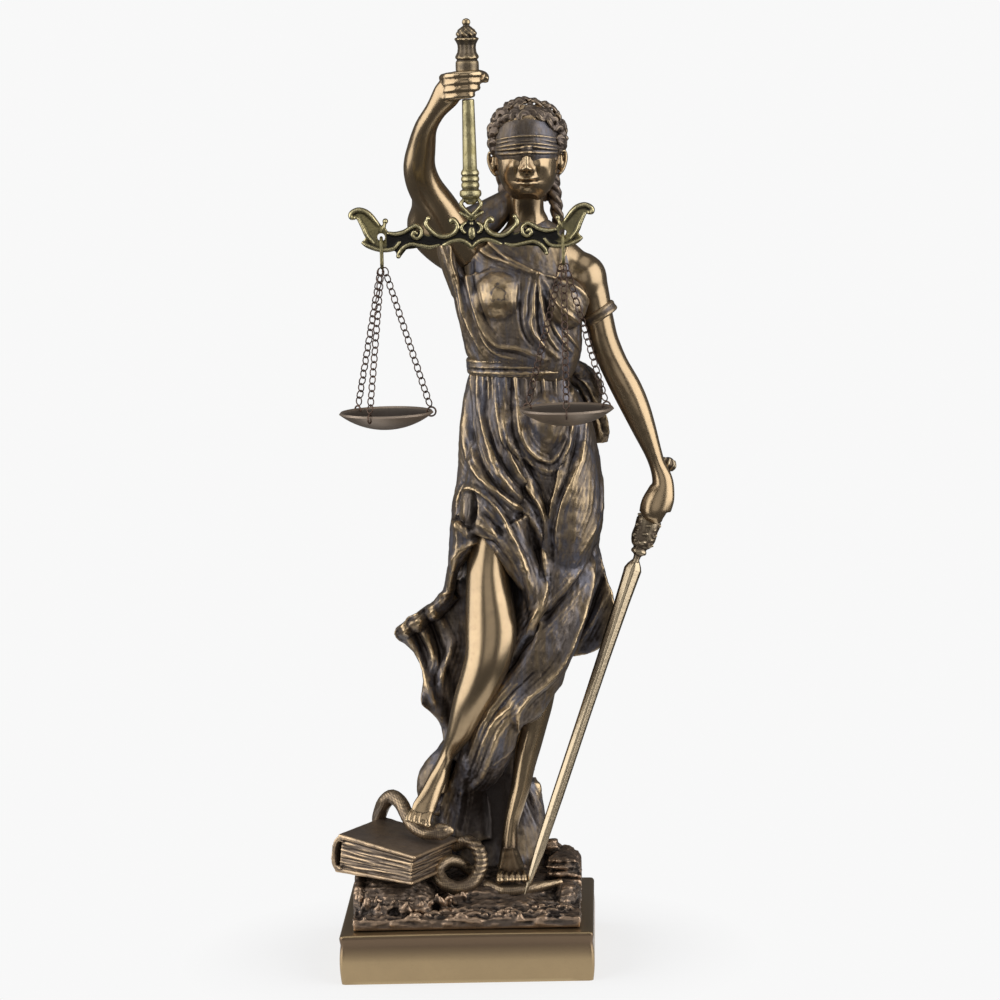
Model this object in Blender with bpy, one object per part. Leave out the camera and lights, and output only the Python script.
"""Standing figure of Justice: a cold-cast bronze figure on a plinth, with brass scales and a sword.

Run with: blender --background --python part.py
Millimetres inside the script, metres in the scene. +X is the viewer's right, +Y goes back, +Z is up.
The origin is the middle of the plinth's underside.
"""

import math

import bmesh
import bpy
import numpy as np
from mathutils import Matrix, Vector

MM = 0.001
GAP = 0.3

# Plinth
PLINTH_WIDTH = 84.0
PLINTH_DEPTH = 78.0
PLINTH_HEIGHT = 16.0
PLINTH_DRAFT = 0.8
PLINTH_EDGE = 1.2

# Figure: its forms are drawn at one size, and follow this height above the plinth
FIGURE_HEIGHT = 304.0
FIGURE_VOXEL = 0.75
FIGURE_TRIANGLES = 3800
HEAD_TRIANGLES = 1350
TURF_INSET = 4.3
TURF_THICKNESS = 4.5

# Scales: a pole with a cast beam, hooks, chains, rings and pans
POLE_RADIUS = 2.1
POLE_FOOT_RADIUS = 2.35
POLE_GRIP_RADIUS = 1.6
POLE_DROP = 47.6
BEAM_HALF_SPAN = 41.0
BEAM_PLATE = 2.0
BEAM_SCROLL = 1.15
BEAM_RELIEF = 0.7
BEAM_VOXEL = 0.42
BEAM_TRIANGLES = 1050
HOLE_RADIUS = 1.3
HOOK_WIRE = 0.5
HOOK_LENGTH = 10.0
HOOK_HALF_WIDTH = 2.1
CHAIN_DROP = 47.2
LINK_PITCH = 2.2
LINK_HALF_WIDTH = 0.75
LINK_HALF_THICKNESS = 0.3
PAN_RADIUS = 15.6
PAN_DEPTH = 5.4
PAN_WALL = 0.8
PAN_HOLE_RADIUS = 0.75
PAN_HOLE_INSET = 2.0
RING_WIRE = 0.3
RING_RADIUS = 1.5
RING_SIDES = 10

# Sword
SWORD_LENGTH = 155.0
BLADE_HALF_WIDTH = 3.1
BLADE_HALF_THICKNESS = 1.5
GRIP_RADIUS = 1.7
SWORD_CLEARANCE = 0.35


def material(name, colour, roughness, metallic):
    """A plain shader in the piece's own colour."""
    made = bpy.data.materials.new(name)
    made.use_nodes = True
    shader = made.node_tree.nodes["Principled BSDF"]
    shader.inputs["Base Color"].default_value = (*colour, 1.0)
    shader.inputs["Roughness"].default_value = roughness
    shader.inputs["Metallic"].default_value = metallic
    return made


def smooth_path(stations, per):
    """Points on a smooth curve through the stations, each of which is a row of numbers."""
    rows = np.array(stations, float)
    ends = np.vstack([2 * rows[0] - rows[1], rows, 2 * rows[-1] - rows[-2]])
    found = []
    for i in range(len(rows) - 1):
        before, start, end, after = ends[i : i + 4]
        for k in range(per):
            t = k / per
            found.append(
                start
                + 0.5 * t * (end - before)
                + t * t * (before - 2.5 * start + 2 * end - 0.5 * after)
                + 0.5 * t**3 * (3 * start - 3 * end + after - before)
            )
    found.append(rows[-1])
    return np.array(found)


def add_ring(bm, centre, along, wide, deep, sides, back):
    """An oval ring of vertices across the direction along, wide to the sides and deep front to back."""
    back = (back - along * back.dot(along)).normalized()
    turn = Matrix((back.cross(along), back, along)).transposed().to_4x4()
    place = Matrix.Translation(centre) @ turn @ Matrix.Diagonal((wide, deep, 1.0, 1.0))
    return bmesh.ops.create_circle(bm, segments=sides, radius=1.0, matrix=place)["verts"]


def loft(bm, stations, sides=18, per=3, back=(0, 1, 0)):
    """A closed round form through stations of x, y, z, half width and half depth."""
    path = smooth_path(stations, per)
    tangents = np.gradient(path[:, :3], axis=0)
    loops = []
    for row, tangent in zip(path, tangents):
        wide, deep = max(row[3], 0.05), max(row[4], 0.05)
        along = Vector(tangent).normalized()
        loops.append(add_ring(bm, Vector(row[:3]), along, wide, deep, sides, Vector(back)))
    for lower, upper in zip(loops, loops[1:]):
        for k in range(sides):
            after = (k + 1) % sides
            bm.faces.new((lower[k], lower[after], upper[after], upper[k]))
    bm.faces.new(loops[0][::-1])
    bm.faces.new(loops[-1])


def ball(bm, centre, radii):
    """A closed oval ball."""
    place = Matrix.Translation(centre) @ Matrix.Diagonal((*radii, 1.0))
    bmesh.ops.create_uvsphere(bm, u_segments=20, v_segments=12, radius=1.0, matrix=place)


def slab(bm, outline, y_near, thickness):
    """A flat closed slab with the outline in x and z, thickness deep from y_near backwards."""
    verts = [bm.verts.new((x, y_near, z)) for x, z in outline]
    face = bm.faces.new(verts)
    made = bmesh.ops.extrude_face_region(bm, geom=[face])["geom"]
    moved = [v for v in made if isinstance(v, bmesh.types.BMVert)]
    bmesh.ops.translate(bm, vec=(0, thickness, 0), verts=moved)


def mesh_of(bm, name):
    """The bmesh as a mesh with its faces pointing out."""
    bmesh.ops.recalc_face_normals(bm, faces=bm.faces)
    mesh = bpy.data.meshes.new(name)
    bm.to_mesh(mesh)
    bm.free()
    return mesh


def evaluated(obj):
    """The object's mesh with its modifiers applied, as a new mesh."""
    bpy.context.view_layer.update()
    graph = bpy.context.evaluated_depsgraph_get()
    mesh = bpy.data.meshes.new_from_object(obj.evaluated_get(graph), depsgraph=graph)
    return mesh


def with_modifiers(mesh, *changes):
    """The mesh after modifiers, each given as a type and its settings."""
    obj = bpy.data.objects.new("working", mesh)
    bpy.context.scene.collection.objects.link(obj)
    for kind, settings in changes:
        modifier = obj.modifiers.new(kind.lower(), kind)
        for key, value in settings.items():
            setattr(modifier, key, value)
    made = evaluated(obj)
    bpy.data.objects.remove(obj)
    return made


def fused(mesh, voxel, rounds):
    """Overlapping closed forms made one skin, then smoothed."""
    return with_modifiers(
        mesh,
        ("REMESH", {"mode": "VOXEL", "voxel_size": voxel}),
        ("SMOOTH", {"factor": 0.5, "iterations": rounds}),
    )


def points_of(mesh):
    """The mesh's points and their normals."""
    count = len(mesh.vertices)
    points = np.empty(count * 3, np.float32)
    normals = np.empty(count * 3, np.float32)
    mesh.vertices.foreach_get("co", points)
    mesh.vertex_normals.foreach_get("vector", normals)
    return points.reshape(-1, 3).astype(float), normals.reshape(-1, 3).astype(float)


def carve(mesh, strokes):
    """Raises folds on the mesh. A stroke is a side, a height, a width and the x, z points it runs through.

    The side is -1 for the front and 1 for the back. A fold rises slowly on its left and drops off on its right.
    """
    points, normals = points_of(mesh)
    shift = np.zeros(len(points))
    for side, height, width, line in strokes:
        path = smooth_path(line, 4)
        facing = np.clip(normals[:, 1] * side * 1.6 + 0.3, 0, 1)
        nearest = np.full(len(points), 1e9)
        signed = np.zeros(len(points))
        ends = np.zeros(len(points))
        count = len(path) - 1
        for i in range(count):
            start, step = path[i], path[i + 1] - path[i]
            from_start = points[:, [0, 2]] - start
            along = np.clip(from_start @ step / (step @ step), 0, 1)
            apart = from_start - along[:, None] * step
            distance = np.hypot(*apart.T)
            closer = distance < nearest
            nearest[closer] = distance[closer]
            turned = step[0] * from_start[:, 1] - step[1] * from_start[:, 0]
            signed[closer] = np.sign(turned[closer])
            ends[closer] = (i + along[closer]) / count
        reach = np.where(signed > 0, width, 0.55 * width)
        fade = np.sin(np.pi * np.clip(ends, 0.06, 0.94)) ** 0.5
        shift += height * facing * fade * np.exp(-((nearest / reach) ** 2))
    points += normals * shift[:, None]
    mesh.vertices.foreach_set("co", points.astype(np.float32).ravel())
    mesh.update()


def trimmed(mesh, fewer, chosen=None):
    """The mesh with that many fewer triangles, taken from the chosen points' faces if points are chosen."""
    whole = with_modifiers(mesh, ("TRIANGULATE", {}))
    obj = bpy.data.objects.new("working", whole)
    bpy.context.scene.collection.objects.link(obj)
    decimate = obj.modifiers.new("fewer faces", "DECIMATE")
    decimate.ratio = 1.0 - fewer / len(whole.polygons)
    if chosen is not None:
        group = obj.vertex_groups.new(name="chosen")
        points, _ = points_of(whole)
        group.add([int(k) for k in np.flatnonzero(chosen(points))], 1.0, "REPLACE")
        decimate.vertex_group = group.name
    made = evaluated(obj)
    bpy.data.objects.remove(obj)
    return made


def triangle_count(mesh, chosen=None):
    """How many triangles the mesh has, in all or with a corner on the chosen points."""
    whole = with_modifiers(mesh.copy(), ("TRIANGULATE", {}))
    corners = np.empty(len(whole.polygons) * 3, np.int32)
    whole.polygons.foreach_get("vertices", corners)
    if chosen is None:
        return len(whole.polygons)
    points, _ = points_of(whole)
    return int(chosen(points)[corners.reshape(-1, 3)].all(axis=1).sum())


def placed(mesh, name, finish, smooth_under=40):
    """The mesh, drawn in millimetres, as a named object in metres."""
    mesh.name = name
    mesh.transform(Matrix.Scale(MM, 4))
    mesh.materials.clear()
    mesh.materials.append(finish)
    mesh.shade_smooth()
    mesh.set_sharp_from_angle(angle=math.radians(smooth_under))
    obj = bpy.data.objects.new(name, mesh)
    bpy.context.scene.collection.objects.link(obj)
    return obj


def cut(obj, cutter_mesh, name):
    """Takes the cutter, drawn in millimetres, out of the object."""
    cutter_mesh.transform(Matrix.Scale(MM, 4))
    cutter = bpy.data.objects.new(name, cutter_mesh)
    bpy.context.scene.collection.objects.link(cutter)
    cutter.hide_render = True
    cutter.display_type = "WIRE"
    modifier = obj.modifiers.new(name, "BOOLEAN")
    modifier.operation = "DIFFERENCE"
    modifier.solver = "EXACT"
    modifier.object = cutter


def drawing():
    """Where the casting's underside is in its drawing, and the real size for one millimetre drawn."""
    base, height = 16.0, 304.0
    return base, FIGURE_HEIGHT / height


def from_drawing(x, y, z):
    """A point of the figure's drawing, at the figure's real size and place."""
    base, scale = drawing()
    return Vector((x * scale, y * scale, PLINTH_HEIGHT + GAP + (z - base) * scale))


def fist_centre():
    """Where the raised hand holds the pole."""
    return from_drawing(7.6, -31.0, 297.0)


def pommel_point():
    return from_drawing(71.1, 9.0, 167.0)


def tip_point():
    return from_drawing(18.7, -17.0, 22.6)


def turned_profile(bm, profile, axis_x, axis_y, sides):
    """A closed turned form from radius and height pairs, from the top down or from the foot up."""
    rings = []
    for radius, height in profile:
        centre = Vector((axis_x, axis_y, height))
        rings.append(add_ring(bm, centre, Vector((0, 0, 1)), radius, radius, sides, Vector((0, 1, 0))))
    for lower, upper in zip(rings, rings[1:]):
        for k in range(sides):
            after = (k + 1) % sides
            bm.faces.new((lower[k], lower[after], upper[after], upper[k]))
    bm.faces.new(rings[0][::-1])
    bm.faces.new(rings[-1])


def body_forms(bm):
    """Torso, neck and dress down to the knees."""
    loft(
        bm,
        [
            (21.3, 6, 126, 25.2, 15.5),
            (21.8, 6, 141, 25.6, 16.5),
            (23.1, 6, 153, 25.9, 16.5),
            (23.9, 5, 165, 24.6, 16.0),
            (23.2, 4, 178, 23.2, 15.5),
            (22.1, 3, 186, 21.2, 14.5),
            (21.3, 3, 194, 18.6, 13.2),
            (21.9, 3, 200, 16.6, 12.4),
            (22.8, 2, 206, 19.2, 13.6),
            (22.8, 1, 215, 20.2, 14.0),
            (20.7, 1, 227, 20.8, 13.4),
            (20.5, 3, 237, 21.6, 11.6),
            (21.0, 4, 245, 19.6, 9.4),
            (23.5, 4, 251, 12.5, 7.4),
            (26.0, 4, 256, 6.5, 6.0),
        ],
        sides=28,
    )
    ball(bm, (15.6, -7.5, 226.8), (8.6, 9.4, 8.6))
    ball(bm, (37.2, -7.0, 224.0), (7.6, 8.8, 8.0))
    ball(bm, (22.0, -4.0, 180.0), (14.0, 11.5, 13.0))
    loft(bm, [(21.9, 3, 197.6, 17.0, 13.2), (21.9, 3, 199, 17.8, 13.9), (21.9, 3, 204.5, 18.2, 14.0),
              (21.9, 3, 206, 17.4, 13.2)], per=2)
    loft(bm, [(26.5, 4, 246, 6.6, 6.6), (26.4, 3, 254, 5.2, 5.4), (26.0, 1.5, 262, 5.0, 5.4),
              (25.8, 1, 268, 5.0, 5.6)])


def shoulder_forms(bm):
    """Cloth over the raised shoulder, the bare shoulder and the sash behind the hip."""
    loft(bm, [(24, 6, 257, 4.0, 5.0), (16, 6, 254, 6.5, 6.5), (8, 5, 249, 8.5, 7.5), (0, 5, 244, 9.5, 8.0),
              (-6, 6, 240, 7.0, 6.0)])
    ball(bm, (-7.5, 7.0, 247.5), (9.0, 8.0, 8.5))
    ball(bm, (43.7, 3.5, 231.6), (8.1, 8.0, 8.4))
    loft(bm, [(34, 4, 246, 8.0, 6.0), (40, 4, 241, 8.0, 7.0), (45, 4, 235, 6.5, 7.0)])
    loft(bm, [(38, 8, 199, 5.0, 4.0), (44, 10, 196, 4.5, 4.5), (46, 11, 190, 3.8, 4.0),
              (43, 12, 184, 4.0, 4.0)])
    loft(bm, [(42, 11, 194, 3.0, 3.4), (47, 12, 186, 3.6, 3.4), (48.5, 12, 179, 3.4, 3.0),
              (47.5, 12, 172, 3.2, 2.6)])


def left_arm(bm):
    """The lowered arm on the viewer's right, its bracelet and the hand behind the sword's grip."""
    loft(
        bm,
        [
            (41, 4, 236, 6.6, 6.6),
            (44.8, 4, 231.4, 6.5, 6.8),
            (46.8, 4, 226, 5.7, 6.3),
            (47.9, 4, 220.5, 5.3, 6),
            (49.2, 4, 215, 5, 5.8),
            (50.3, 4, 210, 5, 5.6),
            (53.4, 4, 202, 5, 5.2),
            (57.4, 4, 194, 5.3, 5.3),
            (60.5, 4, 187, 5, 5.1),
            (63.6, 4, 178.7, 4.1, 4.4),
            (66, 4, 172, 3.1, 3.7),
            (67.4, 4, 167.6, 2.8, 3.4),
            (68.8, 3.5, 163.4, 3.4, 3.2),
            (69.1, 3, 160.2, 3.9, 3.3),
            (68.1, 2.5, 156.6, 5, 3.6),
            (66.4, 2, 152.2, 5.1, 3.6),
            (66.8, 2, 149.6, 3.2, 3),
            (67.6, 2, 147.8, 1, 1.4),
        ],
    )
    loft(bm, [(49.0, 4, 214.6, 5.9, 6.6), (49.6, 4, 212.2, 6.2, 6.9), (50.4, 4, 209.8, 5.9, 6.5)], per=2)
    for step in range(4):
        drop = 3.0 * step
        shift = -1.1 * step
        loft(
            bm,
            [
                (70.2 + shift, 4.0, 161.5 - drop, 1.5, 1.7),
                (71.2 + shift, 7.5, 160.5 - drop, 1.5, 1.6),
                (69.8 + shift, 11.6, 160.0 - drop, 1.5, 1.5),
                (65.6 + shift, 12.0, 160.5 - drop, 1.4, 1.5),
            ],
            sides=10,
            back=(0, 0, 1),
        )
    loft(bm, [(66.6, 2.6, 160, 2.0, 2.0), (63.6, 2.0, 155.4, 1.9, 2.0), (62.4, 2.4, 151.6, 1.6, 1.8)],
         sides=10)


def right_arm(bm):
    """The raised arm on the viewer's left, the fist and the finial that it holds."""
    loft(
        bm,
        [
            (6.0, 4, 241, 8.0, 7.5),
            (0.5, 0, 249, 7.2, 6.8),
            (-3.6, -4, 257, 6.4, 6.4),
            (-8.2, -9, 264, 5.8, 6.0),
            (-9.8, -13, 271, 5.3, 5.6),
            (-8.6, -17, 278, 4.7, 4.8),
            (-6.6, -22, 284.5, 3.8, 3.9),
            (-3.2, -26, 290.5, 3.6, 3.4),
            (0.4, -29, 295.5, 4.8, 3.6),
            (2.2, -30, 298.5, 4.2, 3.6),
        ],
    )
    x, y = 7.6, -31.0
    ball(bm, (3.6, -28.4, 296.6), (5.2, 3.8, 5.4))
    for step in range(4):
        height = 300.6 - 2.75 * step
        reach = 0.0 if step < 3 else -1.6
        loft(
            bm,
            [
                (-1.2, y + 1.0, height - 0.5, 1.5, 1.45),
                (1.6, y - 3.0, height - 0.2, 1.6, 1.5),
                (x, y - 4.0, height, 1.5, 1.5),
                (x + 3.4 + reach, y - 2.2, height + 0.2, 1.4, 1.4),
                (x + 3.6 + reach, y + 1.4, height + 0.2, 1.2, 1.3),
            ],
            sides=10,
            back=(0, 0, 1),
        )
    loft(bm, [(4.0, y + 4.0, 301.0, 1.8, 1.8), (9.5, y + 3.8, 301.4, 1.8, 1.8),
              (13.4, y + 1.0, 300.0, 1.6, 1.8), (14.0, y - 1.0, 298.4, 1.2, 1.4)],
         sides=10, back=(0, 0, 1))
    finial = [
        (3.3, 300.0),
        (3.8, 303.0),
        (3.8, 305.9),
        (3.3, 306.4),
        (3.85, 307.1),
        (2.9, 309.0),
        (2.9, 311.2),
        (3.95, 313.2),
        (3.0, 313.8),
        (3.35, 314.8),
        (2.5, 316.2),
        (1.05, 317.4),
        (1.5, 318.7),
        (1.05, 319.7),
        (0.3, 320.0),
    ]
    turned_profile(bm, finial, x, y, 16)


def head_forms(bm):
    """Head, blindfold, curls and the plait behind the neck."""
    x = 26.0
    loft(
        bm,
        [
            (x, -3.4, 258.6, 3.0, 3.2),
            (x, -2.4, 261.0, 5.8, 6.2),
            (x, -0.8, 266.0, 7.8, 8.6),
            (x, 0.4, 273.0, 8.9, 10.2),
            (x, 1.0, 280.0, 9.2, 11.0),
            (x, 1.6, 286.0, 8.4, 10.0),
            (x, 2.0, 290.5, 5.5, 7.0),
        ],
        sides=22,
    )
    loft(bm, [(x, -8.4, 275.5, 1.0, 1.2), (x, -9.8, 272.0, 1.3, 1.6), (x, -11.0, 269.0, 1.6, 1.8),
              (x, -9.6, 267.8, 1.8, 1.4)], sides=10)
    loft(bm, [(x, 0.4, 274.6, 9.6, 10.8), (x, 0.6, 276.0, 10.2, 11.4), (x, 0.8, 281.0, 10.2, 11.6),
              (x, 1.0, 282.6, 9.6, 11.0)], per=2, sides=22)
    ball(bm, (x, -9.0, 264.6), (3.0, 1.6, 1.2))
    ball(bm, (x, -8.2, 260.6), (2.6, 2.0, 1.8))
    for side in (-1, 1):
        ball(bm, (x + side * 9.4, 1.0, 271.5), (1.4, 2.4, 3.6))
    for ring, (height, reach, count, size) in enumerate(
        [(286.6, 9.4, 11, 2.8), (290.0, 5.4, 7, 2.8), (282.6, 11.0, 13, 2.7), (277.6, 11.5, 13, 2.6),
         (272.6, 11.0, 11, 2.5)]
    ):
        for k in range(count):
            angle = 2 * math.pi * (k + 0.5 * (ring % 2)) / count
            forward = -math.sin(angle)
            if forward > 0.55 and height < 286 or forward > 0.3 and height < 281:
                continue
            ball(bm, (x + reach * math.cos(angle), 2.2 - 1.02 * reach * forward, height),
                 (size, size, size * 0.9))
    ball(bm, (x, 4.0, 281.5), (11.0, 9.6, 10.0))
    loft(bm, [(x + 4, 10, 274, 5.0, 4.0), (x + 7, 9, 266, 3.6, 3.4), (x + 8.6, 7, 257, 3.0, 3.0),
              (x + 8.8, 6, 249, 2.6, 2.6), (x + 8.2, 5, 242, 1.8, 2.0)])


def leg_forms(bm):
    """Both legs and bare feet."""
    loft(
        bm,
        [
            (11.5, -2, 150, 8, 9),
            (9.6, -8, 136, 7.4, 8.6),
            (9.5, -10.4, 127.5, 7.8, 8.4),
            (10.1, -12.4, 115.2, 8.8, 7.8),
            (9, -13.8, 106, 8, 7.4),
            (6.4, -13.5, 98.6, 7.2, 7.2),
            (2.6, -12, 90, 6.2, 6.8),
            (-1.2, -9.5, 80, 4.6, 5.6),
            (-4, -7.4, 74.5, 3.3, 4.4),
            (-6, -6.6, 71, 2.5, 3.7),
            (-7.9, -7, 67, 2.5, 3.4),
            (-9.5, -8.4, 63.4, 3.1, 3.1),
            (-11.3, -10.4, 59.8, 3.3, 2.8),
            (-12.8, -12.2, 56.8, 3.6, 2.4),
            (-14.4, -13.8, 54, 3.9, 1.9),
            (-15.4, -15, 52.2, 3.4, 1.2),
        ],
    )
    loft(bm, [(-6.4, -4.6, 70.5, 2.2, 3.0), (-8.4, -2.0, 62.5, 2.8, 3.2), (-9.6, -1.6, 57.0, 2.6, 3.0)])
    for toe in range(5):
        t = toe / 4
        root = (-17.4 + 5.8 * t, -13.4, 54.0 - 0.8 * t, 1.0, 1.0)
        tip = (-19.8 + 6.8 * t, -17.8, 51.0 - 2.0 * t, 1.0, 0.9)
        loft(bm, [root, tip], sides=8)
    loft(
        bm,
        [
            (30, 4, 150, 12, 12),
            (29, 3, 125, 9, 10),
            (27.4, 2, 108, 7, 8.4),
            (26, 0, 97, 6.3, 7.2),
            (23.9, -1, 86, 6, 6.4),
            (23, -1.4, 78.6, 4.7, 5.6),
            (21.3, -1.8, 72, 4.4, 5.2),
            (19.8, -2, 65.4, 3.8, 4.6),
            (18.6, -2.2, 59, 3.4, 4.2),
            (16.8, -2.6, 52.4, 3, 3.8),
            (15.1, -3, 46, 2.6, 3.4),
            (14.2, -3.6, 39.3, 2.8, 3.5),
            (14.2, -4.4, 34.6, 3.2, 3.6),
        ],
    )
    foot = [(14.2, 1.0, 33, 2.8, 3.0), (14.2, -4, 36, 3.2, 3.4), (14.5, -8, 34.0, 4.0, 2.9),
            (14.9, -12, 31.7, 4.7, 2.0)]
    loft(bm, foot, back=(0, 0, 1))
    for toe in range(5):
        spread = 2.05 * toe
        root = (11.4 + spread, -12.2, 31.2, 1.0, 1.1)
        tip = (11.1 + spread, -17.4, 29.8, 1.0, 0.9)
        loft(bm, [root, tip], sides=8, back=(0, 0, 1))


def drape_forms(bm):
    """The skirt's swag between the legs, the cloth behind them and the two flying hems."""
    loft(
        bm,
        [
            (30, 4, 146, 11, 9),
            (31, 1, 134, 14.6, 12.4),
            (30, -2, 122, 13.6, 11.5),
            (27, -5, 110, 12, 10),
            (22, -7, 98, 11, 8.4),
            (17, -8, 91.4, 11.4, 7.6),
            (11.5, -8, 85, 8.4, 7),
            (8.5, -7.4, 78, 8.8, 6.4),
            (6.6, -6, 71.6, 8.6, 6),
            (3.4, -4, 64.6, 7.6, 5),
            (0.4, -1, 58.6, 6.6, 4.4),
            (-1, 4, 50, 8, 6),
            (-1, 6, 40, 10, 8),
        ],
    )
    loft(
        bm,
        [
            (21, 10, 132, 23, 11),
            (20, 11, 112, 20, 10),
            (14, 12, 95, 16, 9),
            (9, 13, 82, 16.5, 8),
            (8, 14, 70, 16, 8),
            (5, 14, 61, 18.8, 8),
            (5, 14, 53, 22, 8.6),
            (7, 14, 42, 23.5, 11),
            (7, 14, 30, 25, 14),
            (7, 14, 18, 26, 15),
        ],
        sides=28,
    )
    slab(
        bm,
        [
            (0.0, 131), (-4.6, 127.4), (-7.2, 124), (-13.2, 120), (-19.2, 116), (-23.6, 112.2),
            (-22.2, 108.4), (-17.6, 104), (-15.0, 99.5),
            (-14.2, 95), (-14.8, 91), (-15.0, 87), (-11.4, 83), (-9.0, 79), (-8.0, 74.5), (-5.0, 67),
            (8.0, 66), (12.0, 90), (12.0, 115), (10.0, 131),
        ],
        4.0,
        4.2,
    )
    slab(
        bm,
        [
            (47.0, 139), (49.6, 127), (51.2, 122), (50.6, 116), (48.8, 109.5), (45.8, 104.6), (39.6, 102),
            (33.5, 101), (30.0, 97.5),
            (27.5, 92), (20.0, 94), (24.0, 112), (32.0, 130), (38.0, 140),
        ],
        6.0,
        5.0,
    )


def book_axes():
    """The book's corner at its front right foot, and its directions along the front, inwards and up."""
    corner = Vector((-18.4, -30.2, 31.2))
    front = Vector((-0.879, 0.455, 0.138)).normalized()
    depth = Vector((0.453, 0.891, 0.0))
    depth = (depth - front * depth.dot(front)).normalized()
    return corner, front, depth, depth.cross(front)


def book_forms(bm, length=29.0, width=30.0, thickness=10.2, board=1.3):
    """A closed book lying on the turf: two boards, a block of pages and a rounded spine."""
    corner, front, depth, up = book_axes()
    frame = Matrix((front, depth, up)).transposed().to_4x4()
    pages = (board - 0.4, thickness - 2 * board + 0.8, 1.2)
    for base, height, inset in ((0.0, board, 0.0), pages, (thickness - board, board, 0.0)):
        size = Vector((length - inset, width - 2 * inset, height))
        half = Vector((inset, inset, base)) + size / 2
        middle = corner + front * half.x + depth * half.y + up * half.z
        place = Matrix.Translation(middle) @ frame @ Matrix.Diagonal((*size, 1.0))
        bmesh.ops.create_cube(bm, size=1.0, matrix=place)
    start = corner + front * (length - 0.6) + up * (thickness / 2)
    end = start + depth * width
    spine = [(*start.lerp(end, t), 2.6, thickness / 2 + 0.2) for t in (0.0, 0.5, 1.0)]
    loft(bm, spine, sides=14, per=1, back=(0, 0, 1))


def serpent_forms(bm):
    """The serpent: an arch and head on the book, a coil beside it and a tail along the turf."""
    loft(
        bm,
        [
            (-31.5, 4, 40, 2.0, 2.0),
            (-30.4, 2, 48, 2.2, 2.2),
            (-29.0, 0, 54, 2.2, 2.2),
            (-26.0, -1, 57.4, 2.2, 2.2),
            (-22.8, -3, 56.0, 2.1, 2.1),
            (-20.8, -6, 51.0, 2.0, 2.0),
            (-18.6, -10, 47.0, 2.0, 2.0),
            (-14.6, -13.5, 45.4, 2.1, 2.1),
            (-11.4, -14.6, 45.6, 2.4, 2.0),
            (-8.6, -14.8, 46.0, 2.8, 1.9),
            (-6.2, -14.6, 46.2, 1.8, 1.4),
            (-4.8, -14.4, 46.2, 0.8, 0.8),
        ],
        sides=12,
    )
    loft(
        bm,
        [
            (-5.0, -3, 38.0, 2.0, 2.0),
            (0.0, -5, 40.0, 2.3, 2.3),
            (3.8, -8.5, 37.6, 2.4, 2.4),
            (4.4, -11.5, 32.4, 2.4, 2.4),
            (1.4, -14.5, 28.0, 2.4, 2.4),
            (-3.6, -16, 26.6, 2.4, 2.4),
            (-8.4, -15, 28.6, 2.4, 2.4),
            (-10.0, -12, 32.0, 2.3, 2.3),
            (-7.4, -9.5, 34.4, 2.2, 2.2),
            (-3.2, -7.5, 33.6, 2.1, 2.1),
            (1.0, -6, 30.0, 2.0, 2.0),
        ],
        sides=12,
    )
    loft(
        bm,
        [(5.0, -12, 27.0, 1.9, 1.9), (12.2, -16.2, 25.6, 2.0, 2.0), (19.0, -15.4, 25.6, 1.9, 1.9),
         (26.0, -12.6, 26.2, 1.5, 1.5), (32.0, -10, 26.8, 0.9, 0.9)],
        sides=12,
    )


def turf_forms(bm):
    """The turf on the plinth, in the drawing's millimetres, with its mounds and stones."""
    base, scale = drawing()
    wide = (PLINTH_WIDTH - 2 * TURF_INSET) / scale
    deep = (PLINTH_DEPTH - 2 * TURF_INSET) / scale
    top = base + TURF_THICKNESS / scale
    foot = base - 4.0
    size = Matrix.Diagonal((wide, deep, top - foot, 1.0))
    bmesh.ops.create_cube(bm, size=1.0, matrix=Matrix.Translation((0, 0, (top + foot) / 2)) @ size)
    ball(bm, (8.0, 4.0, 19.0), (28.0, 27.0, 11.5))
    ball(bm, (10.0, -8.0, 18.0), (24.0, 19.0, 8.0))
    ball(bm, (-25.0, -9.0, 20.0), (16.0, 20.0, 12.6))
    ball(bm, (-33.0, -4.0, 24.0), (8.0, 11.0, 9.0))
    ball(bm, (32.5, 8.0, 27.0), (6.6, 9.0, 8.0))
    ball(bm, (33.5, -6.0, 21.5), (4.6, 12.0, 5.4))
    ball(bm, (30.4, 8.0, 38.0), (3.0, 3.0, 3.6))


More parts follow.
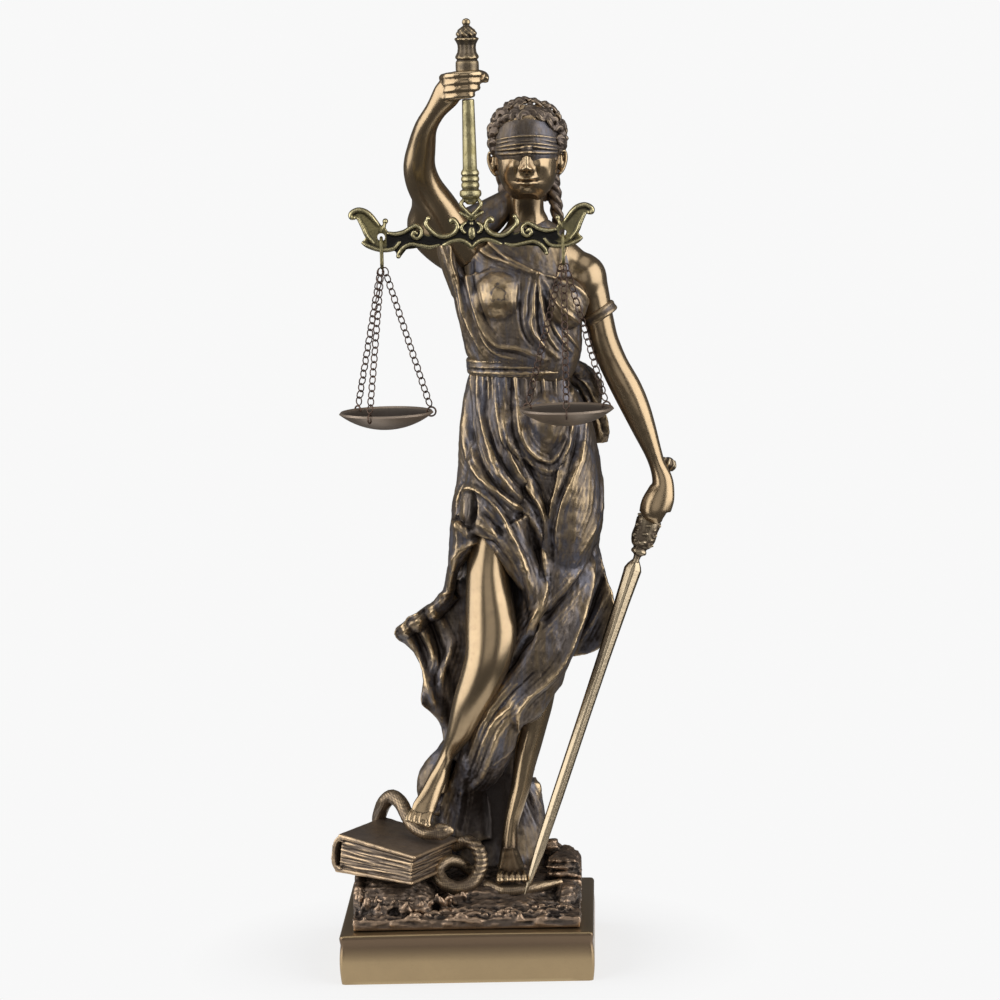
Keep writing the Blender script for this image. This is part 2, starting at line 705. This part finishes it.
# Each fold is a side (-1 the front, 1 the back), a height, a width and the x, z points it runs through
FRONT_FOLDS = [
    (-1, 1.5, 1.9, [(2.4, 192), (2.0, 182), (3.4, 173), (7.4, 167), (17, 158.5), (23.4, 152.5),
                    (27.4, 145.5), (28.4, 135)]),
    (-1, 1.5, 1.8, [(7.3, 198), (7.8, 190), (9.4, 183), (13.2, 170), (16.4, 164.5), (24, 155)]),
    (-1, 1.8, 1.9, [(13.9, 198), (13.8, 191), (16.6, 177), (19.8, 168.5), (25.7, 159), (28.4, 152),
                    (29.3, 141)]),
    (-1, 1.3, 1.7, [(20.2, 200), (21.2, 184), (23.2, 178), (29.6, 171.5), (34.8, 175), (38.4, 184),
                    (38.8, 195)]),
    (-1, 1.6, 1.9, [(38.6, 183), (37.2, 176), (34, 164), (32.2, 158), (30, 149), (28.4, 141)]),
    (-1, 1.4, 1.9, [(43.6, 190), (41.6, 172), (39, 166), (35.4, 158.5), (33.2, 151.5), (31.4, 143)]),
    (-1, 1.2, 2.2, [(48.3, 162), (47.3, 153), (43.6, 145), (38, 136)]),
    (-1, 1.7, 1.7, [(-0.4, 147), (-0.2, 154.5), (1.4, 160.3), (4.6, 162.8), (7.2, 162), (11.2, 158.8),
                    (17.2, 148), (21, 139)]),
    (-1, 1.3, 1.5, [(-2.0, 138), (2.6, 143.8), (7.2, 145), (12.4, 138), (17.4, 133.8), (20.6, 128.8),
                    (22, 121), (16.8, 106)]),
    (-1, 1.5, 1.8, [(26.7, 146), (28.4, 139), (28.6, 132), (27.2, 124.5), (24.2, 118), (18, 104)]),
    (-1, -2.6, 2.6, [(44, 137), (36.4, 126), (30, 120), (23, 112.4), (17.2, 104.7), (11.4, 97.5),
                     (5.6, 90), (2.6, 82)]),
    (-1, 2.0, 2.4, [(45, 134), (42.4, 124), (38.8, 114), (34, 104.3), (28.3, 97), (18.4, 87)]),
    (-1, 1.4, 2.2, [(19.6, 91), (12.4, 85.7), (7.6, 80), (3.0, 66)]),
    (-1, -2.4, 2.0, [(4.4, 159), (4.0, 154), (2.6, 149)]),
    (-1, 1.5, 1.8, [(3.8, 243.4), (4.6, 236), (5.6, 230), (9.3, 217.3), (14.9, 210.6), (24, 208.8),
                    (31, 206.4)]),
    (-1, 1.1, 1.6, [(-0.6, 242), (2.6, 228), (4.2, 220), (9.6, 208)]),
    (-1, 1.3, 1.5, [(7.9, 244), (12, 240.8), (21.2, 237), (28.2, 234), (39.6, 230.4), (45.2, 223),
                    (45, 211)]),
    (-1, 1.2, 1.5, [(28.2, 233.4), (26.8, 222), (25.6, 218.6), (29.6, 211), (34, 206.4)]),
    (-1, 1.1, 1.5, [(29.4, 233), (35, 225), (41.4, 218), (44, 210)]),
    (-1, 1.1, 1.8, [(-9, 116.6), (-5, 111), (-4.2, 107.4), (-6.6, 100), (-8.4, 93.4), (-7.2, 86)]),
    (-1, 1.1, 1.8, [(-18.6, 116.4), (-14.6, 111), (-11.4, 104), (-11.6, 96)]),
]
BACK_FOLDS = [
    (1, 1.7, 2.6, [(x, 196), (x + lean, 150), (x * 0.8, 100), (x * 0.9, 50), (x * 0.95, 25)])
    for x, lean in ((-1, 1.5), (6, 0), (13, -1), (20, 1), (27, 0), (34, 1.5), (41, -1))
]


def flutter(mesh):
    """Sets the flying hem waving, from nothing at the hip to its full swing at the free edge."""
    points, _ = points_of(mesh)
    x, z = points[:, 0], points[:, 2]
    free = np.clip((-x - 2.0) / 14.0, 0, 1) * np.clip((z - 68) / 10, 0, 1) * np.clip((134 - z) / 8, 0, 1)
    points[:, 1] += free * (3.4 * np.sin((z - 0.6 * x) / 5.6) + 1.2 * np.sin(z / 2.6 + x))
    mesh.vertices.foreach_set("co", points.astype(np.float32).ravel())
    mesh.update()


def at_head(points):
    """Which of the drawing's points are above the shoulders."""
    return points[:, 2] >= 256.0


def below_head(points):
    return ~at_head(points)


def build_figure(bronze):
    """The figure, with its turf, book and serpent, is one casting."""
    bm = bmesh.new()
    body = (body_forms, shoulder_forms, left_arm, right_arm, head_forms, leg_forms, drape_forms)
    for forms in (*body, book_forms, serpent_forms, turf_forms):
        forms(bm)
    skin = fused(mesh_of(bm, "figure forms"), FIGURE_VOXEL, 3)
    carve(skin, FRONT_FOLDS + BACK_FOLDS)
    flutter(skin)
    skin = fused(skin, FIGURE_VOXEL, 1)
    for chosen, triangles in ((below_head, FIGURE_TRIANGLES), (at_head, HEAD_TRIANGLES)):
        skin = trimmed(skin, triangle_count(skin, chosen) - triangles, chosen)
    drawn_base, scale = drawing()
    lift = Matrix.Translation((0, 0, PLINTH_HEIGHT + GAP - drawn_base * scale))
    skin.transform(lift @ Matrix.Scale(scale, 4))
    figure = placed(skin, "figure", bronze)
    below = bmesh.new()
    deep = 20.0
    size = Matrix.Diagonal((2 * PLINTH_WIDTH, 2 * PLINTH_DEPTH, deep, 1.0))
    middle = Matrix.Translation((0, 0, PLINTH_HEIGHT + GAP - deep / 2))
    bmesh.ops.create_cube(below, size=1.0, matrix=middle @ size)
    cut(figure, mesh_of(below, "flat underside"), "flat_underside")
    bore = bmesh.new()
    fist = fist_centre()
    wide, narrow = POLE_RADIUS + GAP, POLE_GRIP_RADIUS + GAP
    profile = [(wide, fist.z - 20.0), (wide, fist.z - 4.0), (narrow, fist.z - 3.6), (narrow, fist.z + 4.0)]
    turned_profile(bore, profile, fist.x, fist.y, 12)
    cut(figure, mesh_of(bore, "pole socket"), "pole_socket")
    blade = bmesh.new()
    sword_forms(blade, SWORD_CLEARANCE)
    cut(figure, mesh_of(blade, "sword seat"), "sword_seat")


def build_plinth(bronze):
    """A low block with softened edges and a little draft."""
    bm = bmesh.new()
    size = Matrix.Diagonal((PLINTH_WIDTH, PLINTH_DEPTH, PLINTH_HEIGHT, 1.0))
    bmesh.ops.create_cube(bm, size=1.0, matrix=Matrix.Translation((0, 0, PLINTH_HEIGHT / 2)) @ size)
    for vert in bm.verts:
        if vert.co.z < PLINTH_HEIGHT / 2:
            vert.co.x -= math.copysign(PLINTH_DRAFT, vert.co.x)
            vert.co.y -= math.copysign(PLINTH_DRAFT, vert.co.y)
    edges = [e for e in bm.edges if max(v.co.z for v in e.verts) > PLINTH_HEIGHT / 2]
    bmesh.ops.bevel(bm, geom=edges, offset=PLINTH_EDGE, segments=3, profile=0.5, affect="EDGES", material=-1)
    placed(mesh_of(bm, "plinth"), "plinth", bronze)


def beam_stretch():
    """The real size across for one millimetre of the beam's drawing, whose half span is 41 mm."""
    return BEAM_HALF_SPAN / 41.0


def beam_outline():
    """Half of the beam's outline, from the middle's top round to the middle's foot."""
    half = [
        (0.0, 8.0), (2.4, 7.2), (4.0, 4.4), (5.0, 0.6), (9.2, -1.8), (13.2, 0.0), (15.6, 2.0), (17.2, 3.4),
        (19.0, 3.6), (22.0, 2.8),
        (25.0, 1.4), (26.8, 2.4), (28.4, 4.8), (30.6, 3.8), (33.1, 6.2), (35.7, 7.9), (37.9, 8.6),
        (40.0, 7.9), (41.0, 6.0), (39.2, 6.2),
        (37.2, 5.0), (36.0, 2.0), (35.2, -0.8), (37.0, -2.2), (33.1, -5.0), (29.4, -5.8), (25.6, -5.4),
        (24.6, -7.8), (22.8, -7.4),
        (20.6, -5.4), (14.7, -5.4), (10.3, -3.6), (8.6, -4.2), (4.4, -2.2), (0.0, -5.0),
    ]
    stretch = beam_stretch()
    return [(x * stretch, z) for x, z in half]


def hole_offset():
    """How far the hook holes are from the pole, and how far below the beam's middle line."""
    return 29.8 * beam_stretch(), -0.1


def beam_middle():
    """The middle of the beam, below the fist by the pole's length."""
    fist = fist_centre()
    return Vector((fist.x, fist.y, fist.z - POLE_DROP))


def scroll(bm, points, size, turn_side, middle, plate):
    """A raised strand on the beam, through x and z points that are mirrored by turn_side."""
    stretch = beam_stretch()
    rows = []
    for x, z, s in points:
        rows.append((middle.x + turn_side * x * stretch, middle.y, middle.z + z, size * s, plate * s))
    loft(bm, rows, sides=8, per=3)


def build_balance(brass):
    """The pole with its rings, and the cast beam with scrolls on both faces."""
    middle = beam_middle()
    fist = fist_centre()
    half = beam_outline()
    right = [(middle.x + x, middle.z + z) for x, z in half]
    left = [(middle.x - x, middle.z + z) for x, z in half[-2:0:-1]]
    bm = bmesh.new()
    slab(bm, right + left, middle.y - BEAM_PLATE / 2, BEAM_PLATE)
    high = BEAM_PLATE / 2 + BEAM_RELIEF
    for side in (-1, 1):
        scroll(bm, [(6.6, 5.0, 0.9), (4.6, 5.0, 0.9), (3.9, 2.0, 1.0), (6.2, -0.4, 1.1), (9.2, -1.0, 1.2),
                    (12.5, 0.6, 1.1), (14.3, 3.4, 0.9), (14.4, 5.7, 0.6)], BEAM_SCROLL, side, middle, high)
        scroll(bm, [(18.6, 0.8, 0.8), (17.2, 0.0, 0.8), (16.2, 1.6, 0.8), (17.8, 3.4, 0.9),
                    (22.0, 2.6, 1.0), (25.0, 0.8, 0.9), (27.0, 2.6, 0.8), (28.6, 4.4, 0.6)],
               BEAM_SCROLL, side, middle, high)
        scroll(bm, [(3.4, 7.6, 0.5), (2.0, 5.8, 0.9), (0.8, 3.8, 0.8)], BEAM_SCROLL, side, middle, high)
        scroll(bm, [(37.0, -2.4, 0.5), (33.0, -4.6, 0.9), (29.4, -5.2, 1.0), (25.6, -4.8, 0.9)],
               BEAM_SCROLL * 0.8, side, middle, high)
        scroll(bm, [(23.6, -7.4, 0.5), (21.4, -5.0, 1.0), (17.0, -4.6, 0.9), (11.0, -3.4, 0.6)],
               BEAM_SCROLL, side, middle, high)
        scroll(bm, [(9.4, -3.8, 0.6), (4.6, -2.0, 0.9), (0.0, -4.6, 0.8)], BEAM_SCROLL, side, middle, high)
        scroll(bm, [(40.6, 6.2, 0.6), (38.6, 7.6, 0.8), (35.2, 5.4, 1.5), (32.8, 1.6, 1.8),
                    (32.6, -2.0, 1.0)], BEAM_SCROLL, side, middle, high)
        scroll(bm, [(0.6, 12.0, 0.7), (2.8, 11.0, 0.8), (3.0, 9.4, 0.8), (1.2, 7.6, 0.9), (0.0, 6.6, 0.8)],
               BEAM_SCROLL * 0.8, side, middle, high)
    ball(bm, middle + Vector((0, 0, 0.6)), (1.6, BEAM_PLATE / 2 + 1.1, 2.8))
    foot = middle.z + 11.2
    profile = [
        (1.4, foot - 1.2), (3.0, foot - 0.6), (3.5, foot + 0.3), (3.0, foot + 1.2), (2.5, foot + 1.5),
        (3.2, foot + 2.6), (2.5, foot + 3.5),
        (3.2, foot + 4.6), (2.5, foot + 5.6), (3.2, foot + 6.8), (2.4, foot + 7.8),
        (POLE_FOOT_RADIUS, foot + 9.0),
        (POLE_RADIUS, fist.z - 4.6), (POLE_RADIUS, fist.z - 4.3), (POLE_GRIP_RADIUS, fist.z - 3.9),
        (POLE_GRIP_RADIUS, fist.z + 3.2),
    ]
    turned_profile(bm, profile, middle.x, middle.y, 14)
    skin = fused(mesh_of(bm, "balance forms"), BEAM_VOXEL, 1)
    skin = trimmed(skin, triangle_count(skin) - BEAM_TRIANGLES)
    beam = placed(skin, "balance_beam", brass, 50)
    reach, drop = hole_offset()
    for side, name in ((-1, "hole_left"), (1, "hole_right")):
        hole = bmesh.new()
        spot = middle + Vector((side * reach, 0, drop))
        place = Matrix.Translation(spot) @ Matrix.Rotation(math.pi / 2, 4, "X")
        radii = {"radius1": HOLE_RADIUS, "radius2": HOLE_RADIUS}
        bmesh.ops.create_cone(hole, cap_ends=True, segments=12, depth=12, matrix=place, **radii)
        cut(beam, mesh_of(hole, name), name)


def wire_ring(name, points, across, radius, sides, finish):
    """A closed ring of wire through the points, which lie in a plane that stands on the direction across."""
    bm = bmesh.new()
    count = len(points)
    rings = []
    for k in range(count):
        along = (points[(k + 1) % count] - points[k - 1]).normalized()
        rings.append(add_ring(bm, points[k], along, radius, radius, sides, across))
    for k in range(count):
        lower, upper = rings[k], rings[(k + 1) % count]
        for j in range(sides):
            after = (j + 1) % sides
            bm.faces.new((lower[j], lower[after], upper[after], upper[j]))
    placed(mesh_of(bm, name), name, finish)


def build_hook(name, hole, finish):
    """A long loop of wire that hangs in the beam's hole, in the plane across the beam."""
    top = hole.z - 0.15
    bottom = top - HOOK_LENGTH
    points = []
    for centre_z, start in ((top - HOOK_HALF_WIDTH, 0.0), (bottom + HOOK_HALF_WIDTH, math.pi)):
        for k in range(7):
            angle = start + math.pi * k / 6
            across, up = HOOK_HALF_WIDTH * math.cos(angle), HOOK_HALF_WIDTH * math.sin(angle)
            points.append(Vector((hole.x, hole.y + across, centre_z + up)))
    wire_ring(name, points, Vector((1, 0, 0)), HOOK_WIRE, 5, finish)
    return bottom - HOOK_WIRE


def build_pan(name, centre, turn, finish):
    """A shallow dish with three holes near its rim."""
    bm = bmesh.new()
    bow = (PAN_RADIUS**2 + PAN_DEPTH**2) / (2 * PAN_DEPTH)
    sides, steps = 20, 3
    reach = math.asin(PAN_RADIUS / bow)
    outer = []
    inner = []
    for k in range(steps + 1):
        angle = reach * k / steps
        outer.append((bow * math.sin(angle), centre.z - PAN_DEPTH + bow * (1 - math.cos(angle))))
        inner_bow = bow - PAN_WALL
        inner.append((inner_bow * math.sin(angle), centre.z - PAN_DEPTH + bow - inner_bow * math.cos(angle)))
    profile = outer[1:] + inner[:0:-1]
    up, back = Vector((0, 0, 1)), Vector((0, 1, 0))
    rings = [add_ring(bm, Vector((centre.x, centre.y, z)), up, r, r, sides, back) for r, z in profile]
    for lower, upper in zip(rings, rings[1:]):
        for k in range(sides):
            after = (k + 1) % sides
            bm.faces.new((lower[k], lower[after], upper[after], upper[k]))
    for ring, height in ((rings[0], outer[0][1]), (rings[-1], inner[0][1])):
        pole = bm.verts.new((centre.x, centre.y, height))
        for k in range(sides):
            bm.faces.new((ring[k], ring[(k + 1) % sides], pole))
    pan = placed(mesh_of(bm, name), name, finish)
    holes = bmesh.new()
    for k in range(3):
        angle = math.radians(turn + 120 * k)
        out = Vector((math.cos(angle), math.sin(angle), 0)) * hole_circle()
        place = Matrix.Translation(centre + out + Vector((0, 0, -1)))
        radii = {"radius1": PAN_HOLE_RADIUS, "radius2": PAN_HOLE_RADIUS}
        bmesh.ops.create_cone(holes, cap_ends=True, segments=8, depth=6, matrix=place, **radii)
    cut(pan, mesh_of(holes, name + "_holes"), name + "_holes")


def hole_circle():
    """Distance of the pan's holes from its middle."""
    return PAN_RADIUS - PAN_HOLE_INSET


def build_chain(name, top, bottom, finish):
    """A fused run of links, each turned a quarter from the last."""
    bm = bmesh.new()
    line = bottom - top
    count = max(2, round(line.length / LINK_PITCH))
    along = line.normalized()
    back = Vector((0, 1, 0))
    rings = [add_ring(bm, top, along, LINK_HALF_THICKNESS, LINK_HALF_THICKNESS, 4, back)]
    for k in range(count):
        wide, deep = LINK_HALF_WIDTH, LINK_HALF_THICKNESS
        if k % 2:
            wide, deep = deep, wide
        rings.append(add_ring(bm, top + line * ((k + 0.5) / count), along, wide, deep, 4, back))
    rings.append(add_ring(bm, bottom, along, LINK_HALF_THICKNESS, LINK_HALF_THICKNESS, 4, back))
    for lower, upper in zip(rings, rings[1:]):
        for j in range(4):
            after = (j + 1) % 4
            bm.faces.new((lower[j], lower[after], upper[after], upper[j]))
    bm.faces.new(rings[0][::-1])
    bm.faces.new(rings[-1])
    placed(mesh_of(bm, name), name, finish)


def build_hanging(side_name, side, turn, brass, copper):
    """One side of the scales: hook, three chains, three rings and a pan."""
    reach, drop = hole_offset()
    hole = beam_middle() + Vector((side * reach, 0, drop))
    hook_foot = build_hook(f"hook_{side_name}", hole, brass)
    rim = Vector((hole.x, hole.y, hook_foot - GAP - CHAIN_DROP))
    build_pan(f"pan_{side_name}", rim, turn, copper)
    ring_middle = hole_circle() + RING_RADIUS
    for k in range(3):
        angle = math.radians(turn + 120 * k)
        out = Vector((math.cos(angle), math.sin(angle), 0))
        centre = rim + out * ring_middle + Vector((0, 0, -0.1))
        points = []
        for j in range(RING_SIDES):
            a = 2 * math.pi * j / RING_SIDES
            up = Vector((0, 0, RING_RADIUS * math.sin(a)))
            points.append(centre + out * (RING_RADIUS * math.cos(a)) + up)
        flat = out.cross(Vector((0, 0, 1)))
        wire_ring(f"pan_ring_{side_name}_{k + 1}", points, flat, RING_WIRE, 4, copper)
        top = Vector((hole.x, hole.y, hook_foot - GAP)) + out * 1.0
        seat = centre + Vector((0, 0, RING_RADIUS + RING_WIRE + GAP)) - out * 0.4
        build_chain(f"chain_{side_name}_{k + 1}", top, seat, copper)


def sword_forms(bm, spare=0.0):
    """The sword along its axis, or the room that it takes with spare all round."""
    top, tip = pommel_point(), tip_point()
    along = (tip - top).normalized()
    drawn_length = 155.0
    share = (SWORD_LENGTH + spare) / drawn_length
    stations = [
        (-2.0, 0.6, 0.6), (-1.2, 1.9, 1.9), (0.4, 2.6, 2.6), (2.0, 2.0, 2.0),
        (3.0, GRIP_RADIUS, GRIP_RADIUS), (17.0, GRIP_RADIUS, GRIP_RADIUS),
        (18.0, 3.2, 2.2), (20.0, 4.4, 2.6), (23.6, 4.0, 2.6), (26.0, 3.6, 2.2), (27.0, 2.0, 1.6),
        (28.4, 2.4, 1.8), (30.0, 1.2, 1.2),
        (32.0, BLADE_HALF_WIDTH * 0.85, BLADE_HALF_THICKNESS), (33.6, BLADE_HALF_WIDTH, BLADE_HALF_THICKNESS),
        (48.0, BLADE_HALF_WIDTH * 0.84, BLADE_HALF_THICKNESS), (70.0, BLADE_HALF_WIDTH * 0.73,
                BLADE_HALF_THICKNESS),
        (119.0, BLADE_HALF_WIDTH * 0.66, BLADE_HALF_THICKNESS * 0.9),
        (142.0, BLADE_HALF_WIDTH * 0.5, BLADE_HALF_THICKNESS * 0.7), (152.6, 0.3, 0.3),
    ]
    rings = []
    for distance, wide, deep in stations:
        centre = top + along * (distance * share if distance > 33 else distance)
        rings.append(add_ring(bm, centre, along, wide + spare, deep + spare, 8, Vector((0, 1, 0))))
    for lower, upper in zip(rings, rings[1:]):
        for k in range(8):
            after = (k + 1) % 8
            bm.faces.new((lower[k], lower[after], upper[after], upper[k]))
    bm.faces.new(rings[0][::-1])
    bm.faces.new(rings[-1])


def build_sword(finish):
    bm = bmesh.new()
    sword_forms(bm)
    placed(mesh_of(bm, "sword"), "sword", finish)


def main():
    for obj in list(bpy.data.objects):
        bpy.data.objects.remove(obj)
    bronze = material("cast bronze", (0.30, 0.21, 0.13), 0.38, 0.85)
    plinth_bronze = material("plinth bronze", (0.36, 0.26, 0.15), 0.35, 0.85)
    brass = material("antique brass", (0.42, 0.36, 0.18), 0.35, 0.95)
    copper = material("dark copper", (0.26, 0.19, 0.14), 0.45, 0.9)
    build_plinth(plinth_bronze)
    build_figure(bronze)
    build_sword(bronze)
    build_balance(brass)
    build_hanging("left", -1, 12, brass, copper)
    build_hanging("right", 1, 30, brass, copper)


main()
